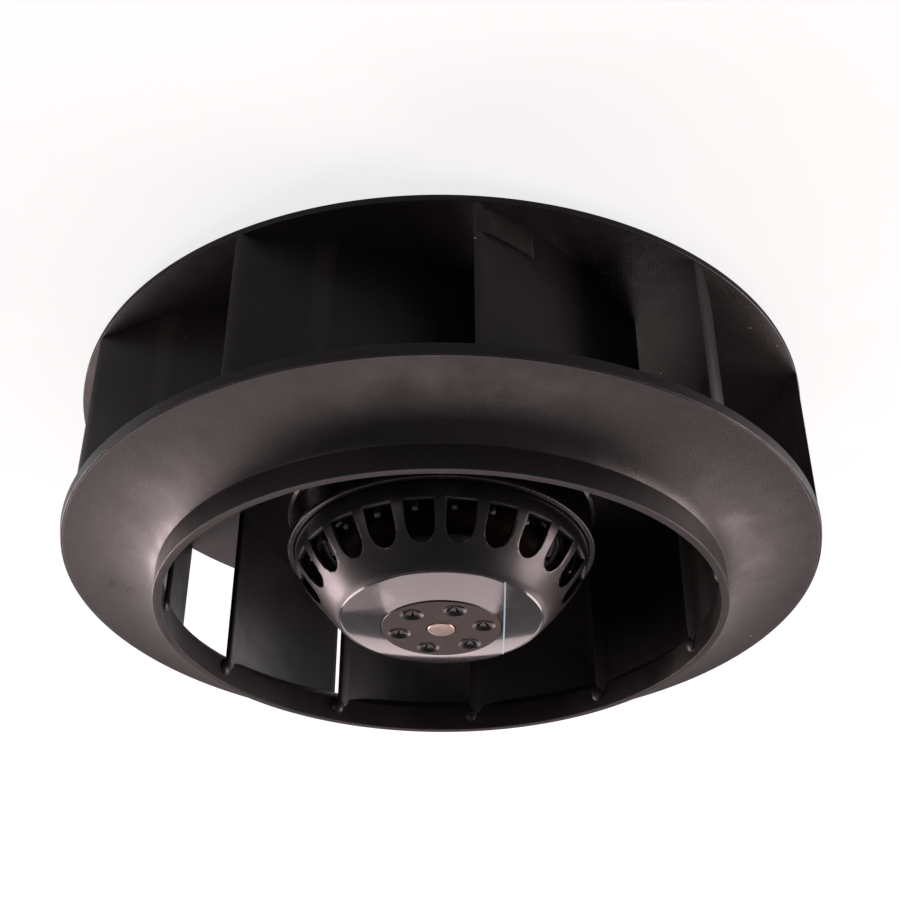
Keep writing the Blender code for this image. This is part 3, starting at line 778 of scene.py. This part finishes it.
def make_blade(name):
    """One blade with its tip on +X, and its foot."""
    loops = []
    for outer, inner in blade_points():
        outer_top, inner_top = blade_top(outer.length), blade_top(inner.length)
        loops.append(
            [
                (outer.x, outer.y, PLATE_Z - BLADE_SINK),
                (outer.x, outer.y, outer_top),
                (inner.x, inner.y, inner_top),
                (inner.x, inner.y, PLATE_Z - BLADE_SINK),
            ]
        )
    return merged(name, [bevel(prism("vane", loops), 0.2, 2, 40), blade_foot()])


def blade_foot():
    """The rounded foot that runs a blade's leading edge out on the neck's wall."""
    mesh = bpy.data.meshes.new("foot")
    bm = bmesh.new()
    place = Matrix.Rotation(-BLADE_WRAP, 4, "Z") @ Matrix.Translation((NECK_BORE_R * MM, 0, FOOT_Z * MM))
    scale = Matrix.Diagonal((*(Vector(FOOT_SIZE) * MM), 1.0))
    bmesh.ops.create_uvsphere(bm, u_segments=24, v_segments=14, radius=1.0, matrix=place @ scale)
    bm.to_mesh(mesh)
    bm.free()
    return bpy.data.objects.new("foot", mesh)


for index in range(BLADES):
    blade = make_blade(f"blade_vane_{index + 1:02d}")
    blade.data.transform(Matrix.Rotation(BLADE_TIP - index * tau / BLADES, 4, "Z"))
    piece(blade, PLASTIC, "rotor", f"blade_{index + 1:02d}")


# Rotor can
outer = smooth_path(
    [
        (CAN_R, 46.0),
        (43.45, 48.8),
        (42.5, 52.0),
        (40.6, 55.2),
        (38.1, 58.6),
        (35.3, 61.8),
        (32.9, 64.6),
        (30.9, 66.7),
        (LABEL_R, LABEL_Z),
    ],
    5,
)
can_out = [(CAN_R, CAN_LOW_Z), (CAN_R, CAN_LOW_Z + 0.4)] + outer
crown = fillet(
    [
        (LABEL_R, LABEL_Z - 0.15, 0),
        (LABEL_R - 0.35, LABEL_Z - 0.45, 0.1),
        (FACE_R + 0.25, FACE_Z - 0.75, 0.1),
        (FACE_R, FACE_Z - 0.2, 0.1),
        (FACE_R - 0.25, FACE_Z - 0.2, 0),
        (FACE_R - 0.25, FACE_Z - FACE_DISC_T, 0),
        (FACE_BORE_R, FACE_Z - FACE_DISC_T, 0),
        (FACE_BORE_R, FACE_Z - 3.5, 0),
    ],
    False,
)
crown_under = [(9.0, FACE_Z - 3.6), (20.0, FACE_Z - 3.6)]
inner_wall = [(r - CAN_WALL, z - CAN_WALL_DROP) for r, z in outer[::-1]]
can_profile = can_out + crown[1:] + crown_under + inner_wall + [(CAN_R - 1.8, CAN_LOW_Z)]
can = lathe("can_shell", can_profile, CAN_STEPS, sharp=30)


def slot_cutter():
    """A slot with a straight mouth and a rounded end, through the can's wall."""
    mouth = [(-SLOT_HALF, SLOT_Z), (SLOT_HALF, SLOT_Z), (SLOT_HALF * 0.97, SLOT_STRAIGHT_Z)]
    end = []
    for i in range(1, 12):
        a = pi * i / 12
        z = SLOT_STRAIGHT_Z + (SLOT_END_Z - SLOT_STRAIGHT_Z) * sin(a) ** 0.85
        end.append((SLOT_HALF * 0.95 * cos(a), z))
    outline = mouth + end + [(-SLOT_HALF * 0.97, SLOT_STRAIGHT_Z)]
    return prism("slot_cutter", [[(r, y, z) for y, z in outline] for r in (28.0, 47.0)])


cut(can, turned_copies("slot_cutters", slot_cutter(), SLOTS, SLOT_ANGLE))
# A matte black sheet just inside the can's wall, with the same slots: painted shade for the can's
# inside.
shade_sheet_path = outer[4:]
shade_sheet_out = [(r - CAN_WALL - SHADE_SHEET_GAP, z - CAN_WALL_DROP - SHADE_SHEET_GAP) for r, z in shade_sheet_path]
shade_sheet_in = [(r - 2 * CAN_WALL, z - 2 * CAN_WALL_DROP) for r, z in shade_sheet_path[::-1]]
shade_sheet = lathe("can_painted_shade", shade_sheet_out + shade_sheet_in, CAN_STEPS)
cut(shade_sheet, turned_copies("slot_cutters", slot_cutter(), SLOTS, SLOT_ANGLE))
piece(shade_sheet, CAN_SHADE, "rotor", None)
bevel(can, 0.14, 2, 40)
piece(can, PAINT, "rotor", "rotor_can")


# Face of the can
def hole_cutter():
    """A round hole through the face disc."""
    low, top = FACE_Z - 3, FACE_Z + 1
    profile = [(0.0, low), (HOLE_R, low), (HOLE_R, top), (0.0, top)]
    cutter = lathe("hole_cutter", profile, 40, closed=False)
    cutter.data.transform(Matrix.Translation((HOLE_CIRCLE_R * MM, 0, 0)))
    return cutter


def hole_dish():
    """The can's own sheet, dished below one hole, with five cuts that leave tabs."""
    profile = [
        (0.0, FACE_Z - FACE_DISC_T + 0.01),
        (HOLE_R - 0.02, FACE_Z - FACE_DISC_T + 0.01),
        (HOLE_R - 0.02, FACE_Z - 0.08),
        (3.40, FACE_Z - 0.14),
        (3.05, FACE_Z - 0.60),
        (2.30, FACE_Z - 1.00),
        (1.20, FACE_Z - 1.22),
        (0.0, FACE_Z - 1.28),
    ]
    dish = lathe("hole_dish", profile, 40, closed=False)
    low, top = TAB_CUT_Z
    for i in range(TABS):
        turn = Matrix.Rotation(tau * i / TABS, 3, "Z")
        loops = []
        for r, half in TAB_CUT:
            corners = [(r, -half, low), (r, half, low), (r, half, top), (r, -half, top)]
            loops.append([turn @ Vector(corner) + Vector((0, 0, FACE_Z)) for corner in corners])
        cut(dish, prism("star_cut", loops))
    dish.data.transform(Matrix.Translation((HOLE_CIRCLE_R * MM, 0, 0)))
    return dish


face_disc = lathe(
    "can_face",
    fillet(
        [
            (FACE_BORE_R, FACE_Z - FACE_DISC_T, 0),
            (FACE_BORE_R, FACE_Z + 0.05, 0.2),
            (FACE_R, FACE_Z + 0.05, 0.3),
            (FACE_R, FACE_Z - 0.2, 0),
            (FACE_R - 0.25, FACE_Z - 0.2, 0),
            (FACE_R - 0.25, FACE_Z - FACE_DISC_T, 0),
        ]
    ),
    180,
)
cut(face_disc, turned_copies("hole_cutters", hole_cutter(), HOLES, HOLE_ANGLE))
bevel(face_disc, 0.12, 2, 60)
flat_tops(face_disc)
piece(face_disc, FACE_PAINT, "rotor", None)
dishes = turned_copies("can_face_dishes", hole_dish(), HOLES, HOLE_ANGLE)
piece(dishes, PAINT, "rotor", None)


# Label
slope = (FACE_Z - 0.3 - LABEL_Z) / (FACE_R - LABEL_R)
label = lathe(
    "label_ring",
    [
        (LABEL_BORE_R, LABEL_Z + slope * (LABEL_BORE_R - LABEL_R)),
        (LABEL_R - 0.95, LABEL_Z - slope * 0.95),
        (LABEL_R - 0.45, LABEL_Z - slope * 0.45 - 0.05),
        (LABEL_R - 0.05, LABEL_Z - 0.20),
        (LABEL_R - 0.05, LABEL_Z - 0.45),
        (LABEL_BORE_R, LABEL_Z + slope * (LABEL_BORE_R - LABEL_R) - LABEL_T),
    ],
    220,
)
piece(label, LABEL, "rotor", "rotor_label")


def label_z(x, y):
    """Height of the pale line's top above a place on the label."""
    return LABEL_Z + slope * (hypot(x, y) - LABEL_R) + 0.03


def label_line():
    """The plain pale line across the label."""
    loops = []
    for i in range(LINE_STEPS + 1):
        middle, y = (a + (b - a) * i / LINE_STEPS for a, b in zip(*LINE_ENDS))
        low, high = middle - LINE_HALF, middle + LINE_HALF
        loops.append(
            [
                (low, y, label_z(low, y) - 0.15),
                (high, y, label_z(high, y) - 0.15),
                (high, y, label_z(high, y)),
                (low, y, label_z(low, y)),
            ]
        )
    return prism("label_line", loops)


piece(label_line(), LABEL_LINE, "rotor", None)

# Shaft
shaft_profile = fillet(
    [
        (0.0, SHAFT_TOP_Z, 0),
        (SHAFT_R - 0.05, SHAFT_TOP_Z, 0.45),
        (SHAFT_R, SHAFT_TOP_Z - 0.7, 0),
        (SHAFT_R, SHAFT_LOW_Z, 0.3),
        (0.0, SHAFT_LOW_Z, 0),
    ],
    False,
)
shaft = lathe("shaft_rod", shaft_profile, 64, closed=False)
piece(shaft, SHAFT_STEEL, "rotor", "shaft")


# Cage ring with its pins: the ring and pin shafts darkened as painted shade, the pin tips left bright as
# painted highlight
def pin_circle(name, profile):
    """The same turned shape on each of the cage's pins."""
    pin = lathe("pin", profile, 20, closed=False)
    pin.data.transform(Matrix.Translation((PIN_CIRCLE_R * MM, 0, 0)))
    return turned_copies(name, pin, SLOTS, SLOT_ANGLE + PIN_TURN)


ring_profile = [
    (CAGE_IN_R, CAGE_Z, 0.3),
    (CAGE_IN_R, CAGE_TOP_Z, 0.8),
    (CAGE_R, CAGE_TOP_Z, 0.8),
    (CAGE_R, CAGE_Z, 0.3),
]
pin_profile = [
    (0.0, CAGE_TOP_Z - 0.5),
    (PIN_R, CAGE_TOP_Z - 0.5),
    (PIN_R, PIN_TOP_Z - 0.6),
    (PIN_R - 0.15, PIN_TOP_Z - 0.25),
    (PIN_R - 0.5, PIN_TOP_Z - 0.05),
    (0.0, PIN_TOP_Z),
]
tip_profile = [
    (PIN_R + 0.02, PIN_TOP_Z - 0.9),
    (PIN_R + 0.02, PIN_TOP_Z - 0.5),
    (PIN_R - 0.12, PIN_TOP_Z - 0.15),
    (PIN_R - 0.45, PIN_TOP_Z),
    (0.0, PIN_TOP_Z + 0.05),
]
ring_and_pins = [lathe("cage", fillet(ring_profile), 180), pin_circle("pins", pin_profile)]
cage_ring = merged("cage_ring_top", ring_and_pins)
piece(cage_ring, CAGE_SHADE, "rotor", "upper_cage_ring")
# Bright aluminium caps on the pin tips: painted highlight against the shaded pins.
piece(pin_circle("cage_pin_tips", tip_profile), CAGE, "rotor", None)


# Balance clip
def make_clip():
    """A sheet clip on the outer side, its end rolled in over the trailing edge."""
    base = BLADE_ARC_R + BLADE_END_T / 2
    loops = []
    for i in range(CLIP_STEPS + 1):
        along = CLIP_LENGTH * i / CLIP_STEPS
        roll = 1 - sqrt(1 - max(0.0, 1 - along / CLIP_ROLL) ** 2)
        near = base + CLIP_GAP - (CLIP_GAP + BLADE_END_T * 0.6) * roll
        far = base + CLIP_REACH - roll
        row = []
        for reach in (near, far):
            end = arc_angle_at(reach, WHEEL_R - 0.08)
            a = end + copysign(along / BLADE_ARC_R, BLADE_LEAD_ANGLE - end)
            row.append(BLADE_CENTRE + reach * Vector((cos(a), sin(a))))
        low, high = CLIP_LOW_Z, CLIP_LOW_Z + CLIP_HEIGHT
        (x1, y1), (x2, y2) = row
        loops.append([(x1, y1, low), (x2, y2, low), (x2, y2, high), (x1, y1, high)])
    clip = bevel(prism("clip_sheet", loops), 0.12, 2, 50)
    clip.data.transform(Matrix.Rotation(BLADE_TIP - CLIP_BLADE * tau / BLADES, 4, "Z"))
    return clip


piece(make_clip(), CLIP, "rotor", "balance_clip")

# Pieces that keep the part's own shape
KEPT = {
    "motor_flange": CAST,
    "flange_cap": BRIGHT_STEEL,
    "lead_grommet": RUBBER,
    "stator_core": IRON,
    "lower_insulator": INSULATOR,
    "upper_insulator": INSULATOR,
    "stator_winding": COPPER_SHADE,
    "lower_bearing_outer_ring": BRIGHT_STEEL,
    "upper_bearing_outer_ring": BRIGHT_STEEL,
    "lower_bearing_inner_ring": BRIGHT_STEEL,
    "upper_bearing_inner_ring": BRIGHT_STEEL,
    "lower_bearing_balls": BRIGHT_STEEL,
    "upper_bearing_balls": BRIGHT_STEEL,
    "bearing_spring": SPRING_STEEL,
    "shaft_circlip": SPRING_STEEL,
    "rotor_iron": IRON,
    "lower_cage_ring": CAGE,
}
for node, material in KEPT.items():
    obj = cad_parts[node]
    obj.data.materials.clear()
    obj.data.materials.append(material)


# Studio, in metres: how pale the floor is to the camera and to the object, and its soft glow
FLOOR_HALF = 6.0
FLOOR_Z = -0.0003
FLOOR_SEEN = 0.30
FLOOR_LIT = 0.10
FLOOR_GLOW = 0.80
SIDE_GLOW = 0.92
NEAR_GLOW = 0.15
SIDE_FROM = (0.11, 0.20)
SIDE_FADE = (-0.20, 0.0)
BEHIND_FROM = (0.12, 0.22)
WORLD_LIGHT = 0.13
AIM = (0.0, 0.0, 0.05)
WARM = (1.0, 0.79, 0.80)
LIGHTS = {
    "left_back": ((0.60, 0.50, 0.56), (0.45, 0.45), 2.9),
    "left_low": ((0.72, 0.45, 0.22), (0.35, 0.35), 4.0),
    "left_front": ((0.65, -0.55, 0.35), (0.45, 0.45), 0.8),
    "left_high": ((0.40, 0.59, 0.60), (0.35, 0.35), 0.3),
    "right_side": ((-0.85, 0.05, 0.35), (0.45, 0.45), 6.0),
    "right_back": ((-0.55, 0.55, 0.50), (0.35, 0.35), 1.7),
    "top_back": ((0.0, 0.48, 0.72), (0.45, 0.45), 1.25),
    "backdrop": ((0.0, 1.5, 0.20), (2.6, 0.40), 3.2),
}

# Camera: focal length in pixels, distance in wheel radii, then elevation, roll, pan and tilt
PICTURE = 900.0
SENSOR = 36.0
FOCAL = 1405.0
CAMERA_FAR = 3.7814
CAMERA_ANGLES = (28.213, 0.226, -0.325, -5.286)


def area_light(name, place, size, power):
    """A warm rectangular lamp that faces the object."""
    data = bpy.data.lights.new(name, "AREA")
    data.shape = "RECTANGLE"
    data.size, data.size_y = size
    data.energy = power
    data.color = WARM
    light = bpy.data.objects.new(name, data)
    bpy.context.scene.collection.objects.link(light)
    light.location = place
    light.rotation_euler = (Vector(AIM) - Vector(place)).to_track_quat("-Z", "Y").to_euler()


def make_floor():
    """A pale floor, whose glow to other rays is weak in front of the object."""
    bm = bmesh.new()
    bmesh.ops.create_grid(bm, x_segments=1, y_segments=1, size=FLOOR_HALF)
    mesh = bpy.data.meshes.new("floor")
    bm.to_mesh(mesh)
    bm.free()
    floor = bpy.data.objects.new("floor", mesh)
    bpy.context.scene.collection.objects.link(floor)
    floor.location.z = FLOOR_Z
    s = Surface("floor_paper")
    shade = s.noise(3.0, 2.0, 0.5)
    path = s.node("ShaderNodeLightPath")
    seen = s.mix(shade, (FLOOR_SEEN,) * 3, (FLOOR_SEEN + 0.01,) * 3)
    paper = s.mix(path.outputs["Is Camera Ray"], (FLOOR_LIT,) * 3, seen)
    s.link(paper, s.shader.inputs["Base Color"])
    s.shader.inputs["Roughness"].default_value = 0.9
    s.shader.inputs["Specular IOR Level"].default_value = 0.0
    axes = s.node("ShaderNodeSeparateXYZ")
    s.link(s.where, axes.inputs[0])
    across = s.node("ShaderNodeMath", operation="ABSOLUTE")
    s.link(axes.outputs["X"], across.inputs[0])
    aside = s.node("ShaderNodeMath", operation="MULTIPLY")
    s.link(s.ramp(across.outputs[0], *SIDE_FROM, 0.0, SIDE_GLOW), aside.inputs[0])
    s.link(s.ramp(axes.outputs["Y"], *SIDE_FADE, 0.0, 1.0), aside.inputs[1])
    behind = s.node("ShaderNodeMath", operation="MAXIMUM")
    s.link(aside.outputs[0], behind.inputs[0])
    s.link(s.ramp(axes.outputs["Y"], *BEHIND_FROM, NEAR_GLOW, SIDE_GLOW), behind.inputs[1])
    glow = s.node("ShaderNodeMapRange")
    s.link(path.outputs["Is Camera Ray"], glow.inputs["Value"])
    s.link(behind.outputs[0], glow.inputs["To Min"])
    glow.inputs["To Max"].default_value = FLOOR_GLOW
    s.shader.inputs["Emission Color"].default_value = (1.0, 1.0, 1.0, 1.0)
    s.link(glow.outputs[0], s.shader.inputs["Emission Strength"])
    mesh.materials.append(s.material)


def make_world():
    """White to the camera, and a weak even light to everything else."""
    world = bpy.data.worlds.new("studio")
    bpy.context.scene.world = world
    world.use_nodes = True
    tree = world.node_tree
    background = tree.nodes["Background"]
    path = tree.nodes.new("ShaderNodeLightPath")
    mix = tree.nodes.new("ShaderNodeMixShader")
    seen = tree.nodes.new("ShaderNodeBackground")
    seen.inputs["Color"].default_value = (1, 1, 1, 1)
    seen.inputs["Strength"].default_value = 1.0
    background.inputs["Color"].default_value = (1, 1, 1, 1)
    background.inputs["Strength"].default_value = WORLD_LIGHT
    out = tree.nodes["World Output"]
    tree.links.new(path.outputs["Is Camera Ray"], mix.inputs[0])
    tree.links.new(background.outputs[0], mix.inputs[1])
    tree.links.new(seen.outputs[0], mix.inputs[2])
    tree.links.new(mix.outputs[0], out.inputs["Surface"])


def make_camera():
    """The camera at the picture's angle, turned upside down as the picture is."""
    elevation, roll, pan, tilt = (radians(a) for a in CAMERA_ANGLES)
    place = Vector((0.0, -cos(elevation), sin(elevation))) * CAMERA_FAR
    ahead = -place.normalized()
    right = Vector((1.0, 0.0, 0.0))
    up = right.cross(ahead)
    ahead = ahead * cos(pan) * cos(tilt) + right * sin(pan) + up * sin(tilt)
    ahead.normalize()
    right = ahead.cross(up).normalized()
    up = right.cross(ahead)
    axis_x = right * cos(roll) + up * sin(roll)
    axis_y = -right * sin(roll) + up * cos(roll)
    data = bpy.data.cameras.new("camera")
    data.lens = SENSOR * FOCAL / PICTURE
    data.sensor_width = SENSOR
    data.clip_start = 0.01
    camera = bpy.data.objects.new("camera", data)
    bpy.context.scene.collection.objects.link(camera)
    turn = Matrix((-axis_x, -axis_y, -ahead)).transposed().to_4x4()
    rim_centre = Vector((0, 0, RIM_Z * MM))
    camera.matrix_world = Matrix.Translation(place * WHEEL_R * MM + rim_centre) @ turn
    bpy.context.scene.camera = camera


def make_flecks():
    """A few dust flecks, dropped where the camera's rays meet the wheel."""
    camera = bpy.context.scene.camera
    graph = bpy.context.evaluated_depsgraph_get()
    eye = camera.matrix_world.translation
    bm = bmesh.new()
    for column, row in FLECKS:
        ray = Vector((column - PICTURE / 2, PICTURE / 2 - row, -FOCAL))
        ray = (camera.matrix_world.to_3x3() @ ray).normalized()
        hit, point, normal = bpy.context.scene.ray_cast(graph, eye, ray)[:3]
        if hit:
            turn = normal.to_track_quat("Z", "Y").to_matrix().to_4x4()
            place = Matrix.Translation(point) @ turn @ Matrix.Diagonal((1.0, 0.8, 0.35, 1.0))
            bmesh.ops.create_icosphere(bm, subdivisions=2, radius=FLECK_R * MM, matrix=place)
    mesh = bpy.data.meshes.new("dust_flecks")
    bm.to_mesh(mesh)
    bm.free()
    flecks = bpy.data.objects.new("dust_flecks", mesh)
    bpy.context.scene.collection.objects.link(flecks)
    piece(flecks, FLECK, "rotor", None)


make_world()
make_camera()
make_flecks()
make_floor()
for name, (place, size, power) in LIGHTS.items():
    area_light(name, place, size, power)

settings = bpy.context.scene.view_settings
settings.view_transform = "Standard"
